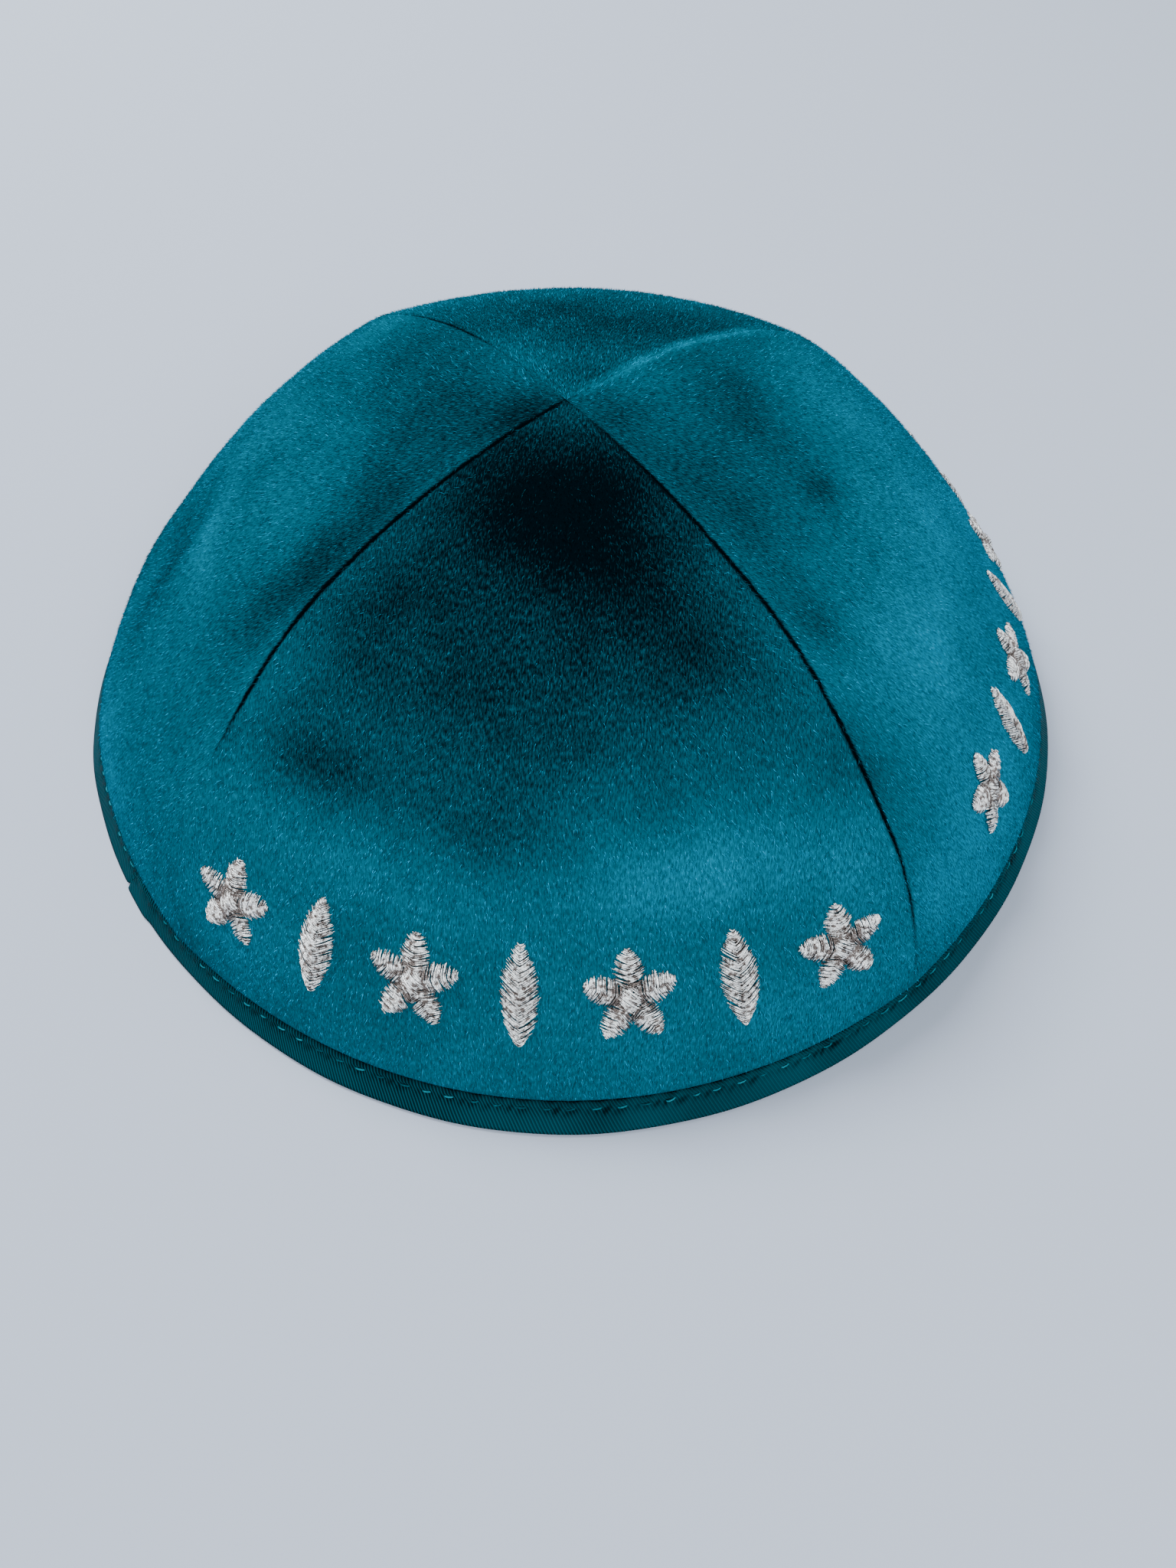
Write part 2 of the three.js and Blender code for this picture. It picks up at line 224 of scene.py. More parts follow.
def radius_at(azimuth, t):
    """Radius of the cap, from the section's shares and the rim's outline."""
    across, _ = gore_at(azimuth)
    middle = np.sin(math.pi * np.clip(across, 0, 1)) ** GORE_PEAK
    share = section_curve(t, "seam") * (1 - middle) + section_curve(t, "panel") * middle
    oval = OVAL_SWELL * np.cos(2 * (azimuth - OVAL_AZIMUTH))
    square = SQUARE_SWELL * np.cos(4 * (azimuth - SQUARE_AZIMUTH))
    return share * (RIM_RADIUS + oval + square)


RISE_STEPS = np.linspace(0, LAST_ROW, 1401)
RISE_HEIGHTS = section_curve(RISE_STEPS, "rise") * CROWN_HEIGHT


def param_at_height(height):
    """Where on the section the visible surface reaches a height."""
    return np.interp(height, RISE_HEIGHTS, RISE_STEPS)


def dent_depth(azimuth, t):
    """How far the dents push the surface in."""
    rise = section_curve(t, "rise")
    radius = radius_at(azimuth, t)
    depth = 0
    for dent in DENTS:
        centre = math.radians(dent["azimuth"])
        turn = np.mod(azimuth - centre + math.pi, 2 * math.pi) - math.pi
        sideways = turn * radius / (dent["half_width"] * RIM_RADIUS)
        climb = (rise - dent["rise"]) * CROWN_HEIGHT
        home = radius_at(centre, param_at_height(dent["rise"] * CROWN_HEIGHT))
        inwards = radius_at(centre, t) - home
        upwards = np.hypot(climb, inwards) / (dent["half_height"] * RIM_RADIUS)
        depth = depth + dent["depth"] * CROWN_HEIGHT * np.exp(-(sideways**2) - upwards**2)
    return depth


def facing(azimuth, t):
    """How the cloth faces in the upright section, outwards from the axis and upwards."""
    step = 0.01
    outwards = (section_curve(t + step, "rise") - section_curve(t - step, "rise")) * CROWN_HEIGHT
    upwards = radius_at(azimuth, t - step) - radius_at(azimuth, t + step)
    length = np.hypot(outwards, upwards)
    return outwards / length, upwards / length


def cloth_point(azimuth, t, depth):
    """Points at a depth below the visible surface, measured square to the upright section."""
    _, twist = gore_at(azimuth)
    rise = section_curve(t, "rise")
    outwards, upwards = facing(azimuth, t)
    sunk = depth + dent_depth(azimuth, t)
    radius = radius_at(azimuth, t) - sunk * outwards
    turned = azimuth + twist * rise
    x = POINT_SHIFT[0] * rise + radius * np.cos(turned)
    y = POINT_SHIFT[1] * rise + radius * np.sin(turned)
    return np.stack([x, y, rise * CROWN_HEIGHT - sunk * upwards], axis=-1)


def cloth_point_at_height(azimuth, height, depth):
    """The same near the rim, at heights above the table, found by halving."""
    low = np.zeros(np.broadcast(azimuth, height, depth).shape)
    high = low + LAST_ROW / 2
    for _ in range(HALVINGS):
        middle = (low + high) / 2
        under = cloth_point(azimuth, middle, depth)[..., 2] < height
        low = np.where(under, middle, low)
        high = np.where(under, high, middle)
    points = cloth_point(azimuth, low, depth)
    points[..., 2] = height
    return points


def cloth_arc(gore):
    """Distance along the middle of a gore from the point down to each step of the section."""
    middle = SEAM_AZIMUTHS[gore] + GORE_WIDTHS[gore] / 2
    line = cloth_point(np.full_like(RISE_STEPS, middle), RISE_STEPS, 0)
    steps = np.linalg.norm(np.diff(line, axis=0), axis=1)
    return np.concatenate([np.cumsum(steps[::-1])[::-1], [0]])


# Handling of objects


def clear_selection():
    if bpy.context.object and bpy.context.object.mode != "OBJECT":
        bpy.ops.object.mode_set(mode="OBJECT")
    bpy.ops.object.select_all(action="DESELECT")


def take(piece):
    """Makes a piece the only selected and the active one."""
    clear_selection()
    piece.select_set(True)
    bpy.context.view_layer.objects.active = piece


def vertex_places(mesh):
    flat = np.empty(len(mesh.vertices) * 3)
    mesh.vertices.foreach_get("co", flat)
    return flat.reshape(-1, 3)


def paint_map(mesh, name, values):
    """Lays a UV map from one pair of values for each vertex."""
    corners = np.empty(len(mesh.loops), dtype=int)
    mesh.loops.foreach_get("vertex_index", corners)
    layer = mesh.uv_layers.get(name) or mesh.uv_layers.new(name=name)
    layer.data.foreach_set("uv", values[corners].ravel())


def paint_shade(mesh, name, values):
    """Gives each vertex a number that the finishes read."""
    layer = mesh.attributes.new(name, "FLOAT", "POINT")
    layer.data.foreach_set("value", np.asarray(values, dtype=float))


def laid_sheet(name, points, cloth, painted_light):
    """A grid of cloth laid on rows and columns of points; its map is their places on the cloth, and
    its last values the painted shade and highlight on it, beside seams and in creases."""
    rows, columns = points.shape[:2]
    clear_selection()
    bpy.ops.mesh.primitive_grid_add(x_subdivisions=columns - 1, y_subdivisions=rows - 1, size=2)
    piece = bpy.context.object
    piece.name = piece.data.name = name
    mesh = piece.data
    shares = (vertex_places(mesh)[:, :2] + 1) / 2
    column = np.rint(shares[:, 0] * (columns - 1)).astype(int)
    row = np.rint(shares[:, 1] * (rows - 1)).astype(int)
    while mesh.uv_layers:
        mesh.uv_layers.remove(mesh.uv_layers[0])
    paint_map(mesh, "cloth", cloth[row, column])
    paint_shade(mesh, "painted_light", painted_light[row, column])
    mesh.vertices.foreach_set("co", points[row, column].ravel())
    mesh.update()
    return piece


def weld(piece, closed):
    """Merges doubled points and turns all faces outwards, away from the hollow on an open cloth."""
    take(piece)
    bpy.ops.object.mode_set(mode="EDIT")
    bpy.ops.mesh.select_all(action="SELECT")
    bpy.ops.mesh.remove_doubles(threshold=0.01 * MM)
    bpy.ops.mesh.normals_make_consistent(inside=False)
    bpy.ops.object.mode_set(mode="OBJECT")
    hollow = Vector((0, 0, CROWN_HEIGHT / 3))
    faces = piece.data.polygons
    if not closed and sum((f.center - hollow).dot(f.normal) * f.area for f in faces) < 0:
        bpy.ops.object.mode_set(mode="EDIT")
        bpy.ops.mesh.select_all(action="SELECT")
        bpy.ops.mesh.flip_normals()
        bpy.ops.object.mode_set(mode="OBJECT")
    bpy.ops.object.shade_smooth()


def finish_with(piece, kind, **settings):
    """Adds a modifier with its settings and applies it."""
    take(piece)
    modifier = piece.modifiers.new(kind.title(), kind)
    for key, value in settings.items():
        setattr(modifier, key, value)
    bpy.ops.object.modifier_apply(modifier=modifier.name)


def many(name, shape, placed, material):
    """One mesh of many copies of a small shape, which is then removed: placed is a stack of each
    copy's points."""
    count, corners = placed.shape[:2]
    faces = [list(face.vertices) for face in shape.data.polygons]
    loops = np.concatenate(faces)
    sizes = np.tile([len(face) for face in faces], count)
    offsets = np.arange(count)[:, None] * corners
    mesh = bpy.data.meshes.new(name)
    mesh.vertices.add(count * corners)
    mesh.loops.add(count * len(loops))
    mesh.polygons.add(len(sizes))
    mesh.vertices.foreach_set("co", placed.ravel())
    mesh.loops.foreach_set("vertex_index", (loops + offsets).ravel())
    mesh.polygons.foreach_set("loop_start", np.concatenate([[0], np.cumsum(sizes)[:-1]]))
    mesh.update(calc_edges=True)
    mesh.validate()
    piece = bpy.data.objects.new(name, mesh)
    bpy.context.scene.collection.objects.link(piece)
    mesh.materials.append(material)
    bpy.data.objects.remove(shape)
    return piece


# Shader arithmetic


class Value:
    """A socket that takes part in Python arithmetic: each operator adds a Math node."""

    def __init__(self, finish, socket):
        self.finish = finish
        self.socket = socket

    def math(self, operation, *inputs):
        return self.finish.add("ShaderNodeMath", dict(enumerate(inputs)), operation=operation)

    def __add__(self, other):
        return self.math("ADD", self, other)

    def __sub__(self, other):
        return self.math("SUBTRACT", self, other)

    def __rsub__(self, other):
        return self.math("SUBTRACT", other, self)

    def __mul__(self, other):
        return self.math("MULTIPLY", self, other)

    def __pow__(self, other):
        return self.math("POWER", self, other)

    def __neg__(self):
        return self.math("MULTIPLY", self, -1)

    def sine(self):
        return self.math("SINE", self)

    def exponent(self):
        return self.math("EXPONENT", self)

    def step(self, low, high):
        """0 below low and 1 above high, smooth between them."""
        inputs = {"Value": self, "From Min": low, "From Max": high}
        return self.finish.add("ShaderNodeMapRange", inputs, interpolation_type="SMOOTHSTEP")


class Finish:
    """A material and the nodes that make its finish."""

    def __init__(self, name, **constants):
        self.material = bpy.data.materials.new(name)
        self.material.use_nodes = True
        self.tree = self.material.node_tree
        self.surface = self.tree.nodes["Principled BSDF"]
        for socket, value in constants.items():
            self.surface.inputs[socket.replace("_", " ")].default_value = value

    def feed(self, socket, value):
        if isinstance(value, Value):
            self.tree.links.new(value.socket, socket)
        else:
            socket.default_value = value

    def add(self, kind, inputs=None, output=0, **settings):
        """Adds a node: its settings first, then its sockets' values or links."""
        node = self.tree.nodes.new(kind)
        for key, value in settings.items():
            setattr(node, key, value)
        for key, value in (inputs or {}).items():
            self.feed(node.inputs[key], value)
        return Value(self, node.outputs[output])

    def place(self):
        """Where a point is in the piece's own space."""
        return self.add("ShaderNodeTexCoord", output="Object")

    def cloth(self):
        """Where a point is on the cloth, across and down it."""
        return self.add("ShaderNodeUVMap", uv_map="cloth")

    def painted(self, name):
        """A number that paint_shade gave each vertex."""
        return self.add("ShaderNodeAttribute", attribute_name=name, output="Fac")

    def axis(self, vector, index):
        return self.add("ShaderNodeSeparateXYZ", {"Vector": vector}, output=index)

    def mix(self, factor, first, second):
        """A colour between two others."""
        inputs = {0: factor, 6: first, 7: second}
        return self.add("ShaderNodeMix", inputs, output=2, data_type="RGBA")

    def vector(self, operation, *inputs, output=0):
        numbered = dict(enumerate(inputs))
        return self.add("ShaderNodeVectorMath", numbered, output=output, operation=operation)

    def noise(self, place, scale, detail=2, roughness=0.5):
        inputs = {"Vector": place, "Scale": scale, "Detail": detail, "Roughness": roughness}
        return self.add("ShaderNodeTexNoise", inputs)

    def stretched_noise(self, place, across, down, detail):
        """Noise with one grain size across the cloth and another down it."""
        return self.noise(self.vector("MULTIPLY", place, (1 / across, 1 / down, 1)), 1, detail)

    def set(self, socket, value):
        self.feed(self.surface.inputs[socket], value)

    def tint_gloss(self, colour):
        """Tints the shine and the sheen, as dyed fibres do."""
        self.surface.inputs["Specular Tint"].default_value = colour
        self.surface.inputs["Sheen Tint"].default_value = colour

    def relief(self, height, distance):
        self.set("Normal", self.add("ShaderNodeBump", {"Height": height, "Distance": distance}))


def rgb(red, green, blue):
    """A screen colour, from 0 to 255, as linear light."""
    shares = (red / 255, green / 255, blue / 255)
    return (*(((c + 0.055) / 1.055) ** 2.4 if c > 0.04 else c / 12.92 for c in shares), 1)


# Colours
# The velvet's colours, from painted shade through its own teal to painted light
SHADED_VELVET = rgb(0, 7, 12)
MIDDLE_VELVET = rgb(0, 78, 95)
LIT_VELVET = rgb(6, 150, 191)
VELVET_GLOSS = rgb(0, 170, 210)
BACKING = (rgb(0, 34, 41), rgb(4, 67, 76))
SATIN = (rgb(0, 13, 18), rgb(0, 69, 81))
SATIN_GLOSS = rgb(0, 150, 160)
TEAL_THREAD = (rgb(0, 53, 64), rgb(6, 113, 129))
# The silver thread runs from a brown-grey of painted shade to near-white painted glints
SILVER_SHADE_AND_GLINT = (rgb(104, 94, 90), rgb(248, 253, 255))
PALE_TABLE = rgb(155, 166, 183)

# Weave of the velvet's back, ribs of the tape, twist of the threads, which sets the size of
# their painted glints, and the marks that brushing leaves
WEAVE_PITCH = 0.7 * MM
RIB_PITCH = 0.52 * MM
RIB_SLANT = 0.55
TWIST_LENGTH = 0.6 * MM
STROKE_WIDTH = 0.22 * MM
STROKE_LENGTH = 0.9 * MM

# Where a tone of 0 lies between dark and bright velvet, from 0 to 1, and how far a tone of 1 is
# from it
PILE_LEVEL = 0.46
GROUND_LEVEL = 0.4
TONE_REACH = 0.5

# Painted sheen and painted shade on each gore's pile: patches where the pile, lying one way and
# another, is painted light as it catches the lamps and dark as it lies in shade; u across from its
# middle and v down from the point, in millimetres, with the patch's half sizes, its turn in degrees
# and its tone from -1 to 1
PILE_SHEEN_AND_SHADE = {
    "front": (
        {"u": 2, "v": 20, "half_u": 19.5, "half_v": 17, "turn": 0, "tone": -0.86},
        {"u": 5, "v": 3, "half_u": 4, "half_v": 5, "turn": -40, "tone": 0.05},
        {"u": 8, "v": 35, "half_u": 24, "half_v": 9, "turn": -8, "tone": -0.14},
        {"u": 4, "v": 52, "half_u": 40, "half_v": 13, "turn": 0, "tone": -0.32},
        {"u": -21, "v": 44, "half_u": 9, "half_v": 20, "turn": 22, "tone": -0.25},
        {"u": -30, "v": 67, "half_u": 11, "half_v": 4.5, "turn": -12, "tone": -0.26},
        {"u": -6, "v": 70, "half_u": 12, "half_v": 6, "turn": 0, "tone": -0.22},
        {"u": 20, "v": 40, "half_u": 10, "half_v": 12, "turn": -25, "tone": -0.18},
        {"u": 28, "v": 75, "half_u": 20, "half_v": 7, "turn": 6, "tone": 0.48},
        {"u": -16, "v": 78, "half_u": 32, "half_v": 6, "turn": 0, "tone": 0.24},
        {"u": -6, "v": 94, "half_u": 60, "half_v": 17, "turn": 0, "tone": 0.22},
        {"u": 48, "v": 88, "half_u": 16, "half_v": 14, "turn": 0, "tone": 0.26},
        {"u": -48, "v": 92, "half_u": 14, "half_v": 9, "turn": 0, "tone": 0.25},
        {"u": 48, "v": 103, "half_u": 30, "half_v": 10, "turn": 0, "tone": 0.2},
        {"u": -24, "v": 106, "half_u": 22, "half_v": 7, "turn": 0, "tone": 0.2},
    ),
    "right": (
        {"u": 3, "v": 24, "half_u": 13, "half_v": 9, "turn": 0, "tone": -0.3},
        {"u": -2, "v": 8, "half_u": 9, "half_v": 7, "turn": 0, "tone": -0.26},
        {"u": -16, "v": 20, "half_u": 7, "half_v": 18, "turn": 42, "tone": -0.3},
        {"u": 0, "v": 32, "half_u": 30, "half_v": 12, "turn": 0, "tone": -0.15},
        {"u": -9, "v": 40, "half_u": 5, "half_v": 3.5, "turn": 0, "tone": -0.35},
        {"u": -39, "v": 48, "half_u": 5, "half_v": 9, "turn": 35, "tone": -0.36},
        {"u": -60, "v": 62, "half_u": 6, "half_v": 11, "turn": 25, "tone": -0.4},
        {"u": -32, "v": 62, "half_u": 20, "half_v": 12, "turn": 0, "tone": 0.36},
        {"u": -4, "v": 58, "half_u": 24, "half_v": 14, "turn": 0, "tone": 0.26},
        {"u": 6, "v": 87, "half_u": 70, "half_v": 23, "turn": 0, "tone": 0.5},
        {"u": -54, "v": 90, "half_u": 22, "half_v": 14, "turn": 0, "tone": 0.34},
        {"u": 24, "v": 50, "half_u": 22, "half_v": 20, "turn": 0, "tone": 0.24},
        {"u": 44, "v": 68, "half_u": 14, "half_v": 14, "turn": 0, "tone": 0.18},
    ),
    "back": (
        {"u": -2, "v": 29, "half_u": 46, "half_v": 20, "turn": 0, "tone": -0.52},
        {"u": -2, "v": 6, "half_u": 8, "half_v": 6, "turn": 0, "tone": -0.24},
        {"u": 0, "v": 78, "half_u": 50, "half_v": 16, "turn": 0, "tone": 0.2},
        {"u": -20, "v": 64, "half_u": 14, "half_v": 8, "turn": 20, "tone": -0.2},
    ),
    "left": (
        {"u": 5, "v": 6, "half_u": 6.5, "half_v": 8, "turn": -42, "tone": -0.42},
        {"u": 22, "v": 31, "half_u": 7, "half_v": 16, "turn": -38, "tone": -0.32},
        {"u": 35, "v": 45, "half_u": 6, "half_v": 15, "turn": -32, "tone": -0.42},
        {"u": -6, "v": 20, "half_u": 26, "half_v": 16, "turn": 0, "tone": -0.34},
        {"u": 7, "v": 73, "half_u": 15, "half_v": 8, "turn": 0, "tone": -0.18},
        {"u": 14, "v": 60, "half_u": 18, "half_v": 4.5, "turn": 14, "tone": 0.3},
        {"u": -28, "v": 34, "half_u": 12, "half_v": 10, "turn": 0, "tone": -0.14},
        {"u": -8, "v": 97, "half_u": 12, "half_v": 8, "turn": 0, "tone": -0.25},
        {"u": 34, "v": 99, "half_u": 38, "half_v": 8, "turn": 0, "tone": 0.3},
        {"u": 42, "v": 88, "half_u": 24, "half_v": 16, "turn": 0, "tone": 0.18},
        {"u": -22, "v": 70, "half_u": 22, "half_v": 11, "turn": 0, "tone": 0.22},
    ),
}

# Each seam's groove, in the seams' own order: between which places down from the point it is deep
# and over what length that fades, in millimetres, and its share of the full depth there and
# elsewhere
SEAM_GROOVES = (
    {"from": 3, "to": 64, "fade": 1.5, "most": 1, "least": 0.1},
    {"from": 13, "to": 90, "fade": 4, "most": 0.9, "least": 0.1},
    {"from": 50, "to": 130, "fade": 6, "most": 0.7, "least": 0.1},
    {"from": 17, "to": 130, "fade": 4, "most": 0.5, "least": 0.1},
)

# Painted shade in the groove beside each seam, and a painted highlight beside the back-right
# seam: how light the pile is painted, how far that reaches to each side, and between which places
# down from the point and over what length it fades, in millimetres
SEAM_SHADE_AND_HIGHLIGHTS = (
    ({"tone": -1.4, "half_width": 0.42, "from": 2, "to": 68, "fade": 1.5},),
    ({"tone": -1.4, "half_width": 0.42, "from": 12, "to": 92, "fade": 4},),
    (
        {"tone": 0.62, "half_width": 1.6, "from": 6, "to": 42, "fade": 3},
        {"tone": -0.8, "half_width": 0.42, "from": 50, "to": 130, "fade": 6},
    ),
    (
        {"tone": -0.8, "half_width": 0.36, "from": 17, "to": 36, "fade": 3},
        {"tone": -0.8, "half_width": 0.42, "from": 52, "to": 130, "fade": 6},
    ),
)

# Painted shade over all of each gore's pile, deepest on the front, which the fill lamp lights most
GORE_SHADE_OFFSETS = {"front": -0.16, "right": -0.1, "back": 0, "left": -0.07}


def pile_tone_sheen_and_shade(finish, gore):
    """How light the pile is, from about -1 to 1: random tone with painted sheen and shade."""
    cloth = finish.cloth()
    tone = (finish.noise(finish.place(), 48, detail=4, roughness=0.6) - 0.5) * 0.7
    for patch in PILE_SHEEN_AND_SHADE[gore]:
        inputs = {
            "Vector": cloth,
            "Location": (patch["u"] * MM, patch["v"] * MM, 0),
            "Rotation": (0, 0, math.radians(patch["turn"])),
            "Scale": (patch["half_u"] * MM, patch["half_v"] * MM, 1),
        }
        placed = finish.add("ShaderNodeMapping", inputs, vector_type="TEXTURE")
        reach = finish.vector("LENGTH", placed, output="Value")
        # Painted sheen where a patch's tone is above 0 and painted shade where it is below
        tone = tone + (-(reach * reach)).exponent() * patch["tone"]
    return tone


def velvet_finish(gore, pile):
    """Brushed velvet with painted sheen and shade; the pile's fibres are painted in shade at their
    roots and lighter towards their tips, and a few are painted as glints.
    """
    name = f"pile_{gore}" if pile else f"velvet_{gore}"
    sheen = {"Sheen_Weight": 0.02, "Sheen_Roughness": 0.4}
    finish = Finish(name, Roughness=0.6, Specular_IOR_Level=0, **sheen)
    finish.tint_gloss(VELVET_GLOSS)
    # Random tone with the painted sheen and shade of the patches, seams and whole gore
    tone = pile_tone_sheen_and_shade(finish, gore) + finish.painted("painted_light") + GORE_SHADE_OFFSETS[gore]
    if pile:
        # Painted glints: a few fibres are painted much lighter, and dimmer where the pile is in
        # shade
        contrast = tone.step(-1.3, 0.1) * 0.36 + 0.28
        fibres = (finish.painted("shade") ** 4 * 1.4 - 0.2) * contrast
        # Painted shade at each fibre's root, lighter towards its tip
        level = tone * TONE_REACH + PILE_LEVEL + fibres + (finish.painted("tip") - 0.5) * 0.16
    else:
        strokes = finish.stretched_noise(finish.cloth(), STROKE_WIDTH, STROKE_LENGTH, detail=3)
        level = tone * TONE_REACH + GROUND_LEVEL + (strokes - 0.5) * 0.8
        finish.relief(strokes, 0.2 * MM)
    shadow = finish.mix(level.step(-0.05, 0.55), SHADED_VELVET, MIDDLE_VELVET)
    finish.set("Base Color", finish.mix(level.step(0.42, 1.1), shadow, LIT_VELVET))
    return finish.material


def backing_finish():
    """The woven back of the velvet, inside the cap."""
    finish = Finish("backing", Roughness=0.85, Sheen_Weight=0.1)
    cloth = finish.cloth()
    turns = 2 * math.pi / WEAVE_PITCH
    weave = (finish.axis(cloth, 0) * turns).sine() * (finish.axis(cloth, 1) * turns).sine()
    level = finish.noise(finish.place(), 60) * 0.6 + weave * 0.2 + 0.2
    finish.set("Base Color", finish.mix(level, *BACKING))
    finish.relief(weave, 0.12 * MM)
    return finish.material


def satin_finish():
    """The tape: satin twill cut on the bias, its fine ribs nearly square to the rim and painted
    light and dark more strongly on the left, where the lamp grazes them, with the right painted a
    little lighter."""
    finish = Finish("satin_tape", Sheen_Weight=0.04, Specular_IOR_Level=0.03)
    finish.tint_gloss(SATIN_GLOSS)
    cloth = finish.cloth()
    slanted = finish.axis(cloth, 0) + finish.axis(cloth, 1) * RIB_SLANT
    wobble = finish.stretched_noise(cloth, 6.25 * MM, 2.5 * MM, detail=2)
    ribs = (slanted * (2 * math.pi / RIB_PITCH) + wobble * 2).sine()
    place = finish.place()
    clouds = finish.noise(place, 70, detail=3)
    # Painted light: rib contrast painted stronger on the left, and the right painted a little
    # lighter
    side = finish.axis(place, 0).step(-0.03, 0.02)
    level = clouds * 0.8 + ribs * (0.42 - side * 0.3) + side * 0.08 + 0.14
    # Painted shade in the creases beside the stitches
    level = level - finish.painted("painted_light") * 0.6
    finish.set("Base Color", finish.mix(level.step(-0.1, 1), *SATIN))
    finish.set("Roughness", 0.52 - ribs * 0.1)
    finish.relief(ribs, 0.12 * MM)
    return finish.material


def thread_finish(name, colours, lightness, spread, glints, glitter, **constants):
    """Thread between a dark and a light colour: spread tells how unlike each other single threads
    are in random tone and painted glints, glints how strongly painted glints show along each one's
    twist and glitter how deep that twist is."""
    finish = Finish(name, **constants)
    place = finish.place()
    # Painted glints: specks of light and shade along each thread's twist
    glint_flecks = finish.noise(place, 1 / TWIST_LENGTH)
    level = (glint_flecks - 0.5) * glints + (finish.painted("shade") - 0.5) * spread + lightness
    finish.set("Base Color", finish.mix(level.step(0, 1), *colours))
    finish.relief(finish.noise(place, 2 / TWIST_LENGTH, detail=1), glitter)
    return finish.material


# Gores


def faded(down, row):
    """1 between the two places where a seam's mark starts and ends, and 0 well away from them."""
    started = 1 / (1 + np.exp((row["from"] - down) / row["fade"]))
    return started / (1 + np.exp((down - row["to"]) / row["fade"]))


def seam_shade_and_highlight(gore, cloth):
    """Painted shade and a painted highlight on the pile beside the two seams of a gore, for rows
    of places on it.
    """
    tone = np.zeros(cloth.shape[:2])
    down = cloth[..., 1] / MM
    for side, seam in ((0, gore), (-1, (gore + 1) % len(GORES))):
        away = np.abs(cloth[..., 0] - cloth[:, side, 0][:, None]) / MM
        rough = [noise.noise(Vector((v * 0.35, seam, 0))) for v in down[:, 0]]
        broken = 0.8 + 0.9 * np.array(rough)[:, None]
        for streak in SEAM_SHADE_AND_HIGHLIGHTS[seam]:
            reach = np.exp(-((away / streak["half_width"]) ** 2))
            # Painted shade in the seam grooves, and the painted highlight beside the back-right
            # seam
            tone += streak["tone"] * reach * broken * faded(down, streak)
    return tone


def gore_grid(gore):
    """Rows and columns of points on a gore's face, and their places on the cloth."""
    skirt = np.linspace(SKIRT_FOOT, ROLL_START, SKIRT_ROWS, endpoint=False)
    roll = ROLL_START + ROLL_HEIGHT * np.linspace(0, 1, ROLL_ROWS) ** 1.5
    low = param_at_height(np.concatenate([skirt, roll]))
    rows = np.concatenate([low, np.linspace(low[-1], LAST_ROW, FACE_ROWS + 1)[1:]])
    edge = np.linspace(0, 1, SEAM_COLUMNS, endpoint=False) ** 1.4
    main = np.linspace(0, 1, FACE_COLUMNS)
    sides = np.concatenate([edge, np.ones_like(main), edge[::-1]])
    grooves = [SEAM_GROOVES[seam] for seam in (gore, (gore + 1) % len(GORES))]
    width = GORE_WIDTHS[gore]
    start = SEAM_AZIMUTHS[gore]
    middle = start + width / 2
    arc = cloth_arc(gore)
    points, cloth = [], []
    for t in rows:
        radius = max(float(radius_at(start, t)), 0.05 * MM)
        gap = math.asin(min(SEAM_GAP / 2 / radius, 0.5))
        rolled = min(SEAM_ROLL / radius, width / 5)
        steepness = min(rolled * radius / SEAM_ROLL, 1)
        inner = gap + rolled + (width - 2 * gap - 2 * rolled) * main
        outer = gap + rolled * edge
        azimuth = start + np.concatenate([outer, inner, (width - outer)[::-1]])
        down = float(np.interp(t, RISE_STEPS, arc))
        deep = [g["least"] + (g["most"] - g["least"]) * faded(down / MM, g) for g in grooves]
        share = np.where(np.arange(len(sides)) < len(sides) / 2, *deep)
        seam_dip = SEAM_DEPTH * steepness * share * (1 - np.sqrt(1 - (1 - sides) ** 2))
        height = float(section_curve(t, "rise")) * CROWN_HEIGHT
        rolled_up = np.clip((height - ROLL_START) / ROLL_HEIGHT, 0, 1)
        rim_dip = SKIRT_DEPTH * (1 - math.sqrt(1 - (1 - rolled_up) ** 2))
        level = np.full_like(azimuth, t)
        points.append(cloth_point(azimuth, level, np.maximum(seam_dip, rim_dip)))
        sideways = (azimuth - middle) * radius_at(azimuth, level)
        cloth.append(np.stack([sideways, np.full_like(azimuth, down)], axis=-1))
    return np.array(points), np.array(cloth)


def rumpled(points):
    """Small soft unevenness of the cloth, the same on both sides of a seam."""
    outwards = points - np.array([0, 0, -RIM_RADIUS * 0.4])
    outwards = outwards / np.linalg.norm(outwards, axis=-1, keepdims=True)
    lift = []
    for point in points.reshape(-1, 3):
        broad = noise.noise(Vector(point) * 32)
        fine = noise.noise(Vector(point) * 110 + Vector((7, 3, 5)))
        lift.append(broad * BROAD_RUMPLE + fine * FINE_RUMPLE)
    calm = np.clip((points[..., 2:] - 5 * MM) / (10 * MM), 0.1, 1)
    return points + outwards * np.reshape(lift, calm.shape) * calm


def make_gore(gore, backing):
    """The velvet of a gore; returns what its pile stands on."""
    name = GORES[gore]
    points, cloth = gore_grid(gore)
    points = rumpled(points)
    # Painted shade and highlight on the pile beside the seams
    painted_light = seam_shade_and_highlight(gore, cloth)
    piece = laid_sheet(f"velvet_{name}", points, cloth, painted_light)
    piece.data.materials.append(velvet_finish(name, pile=False))
    piece.data.materials.append(backing)
    weld(piece, closed=False)
    finish_with(piece, "SOLIDIFY", thickness=VELVET_BACKING, offset=-1, material_offset=1)
    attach(piece, "root")
    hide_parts(f"panel_{name}")
    return points[SKIRT_ROWS:], cloth[SKIRT_ROWS:], painted_light[SKIRT_ROWS:, :, None]


